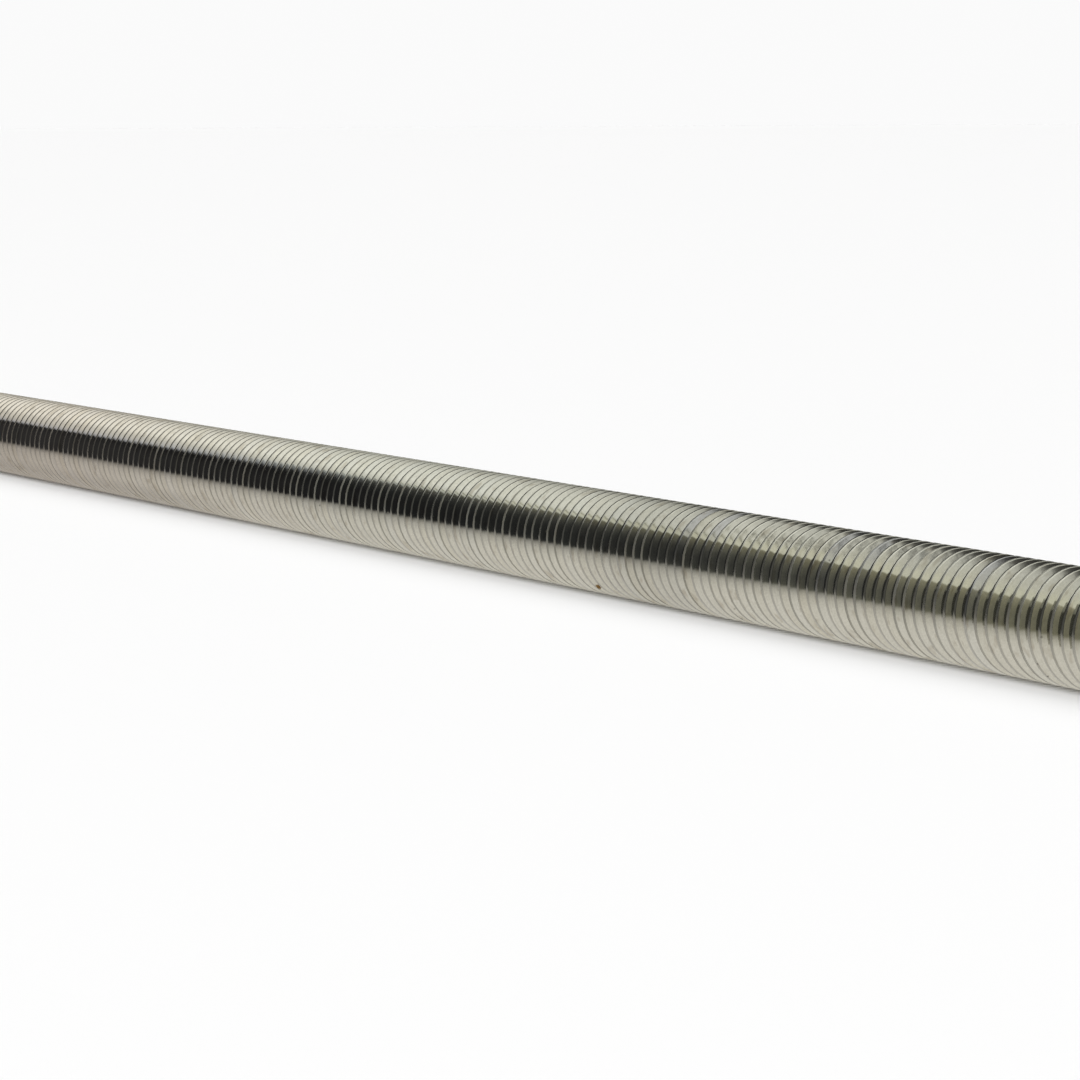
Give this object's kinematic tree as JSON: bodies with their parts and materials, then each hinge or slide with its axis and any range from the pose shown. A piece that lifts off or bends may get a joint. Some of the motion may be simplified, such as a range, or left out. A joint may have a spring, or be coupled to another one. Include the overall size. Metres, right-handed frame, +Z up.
{
  "type": "threaded rod",
  "caption": "Straight metal rod with a coarse right-hand thread along its whole length and chamfered sawn ends, for nuts, clamps and tapped holes.",
  "frame": {"origin": "on the rod's axis, halfway between its two end faces", "axes": "+X along the rod's axis, +Z up; the rod is the same from either end"},
  "size_m": [0.3, 0.012, 0.012],
  "materials": {
    "zinc_plated_steel": "rolled thread in mild steel, bright zinc plating with a faint passivation tint, fine scuffs and small specks of grime"
  },
  "bodies": {
    "root": {"threaded_rod": "zinc_plated_steel"}
  },
  "joints": []
}
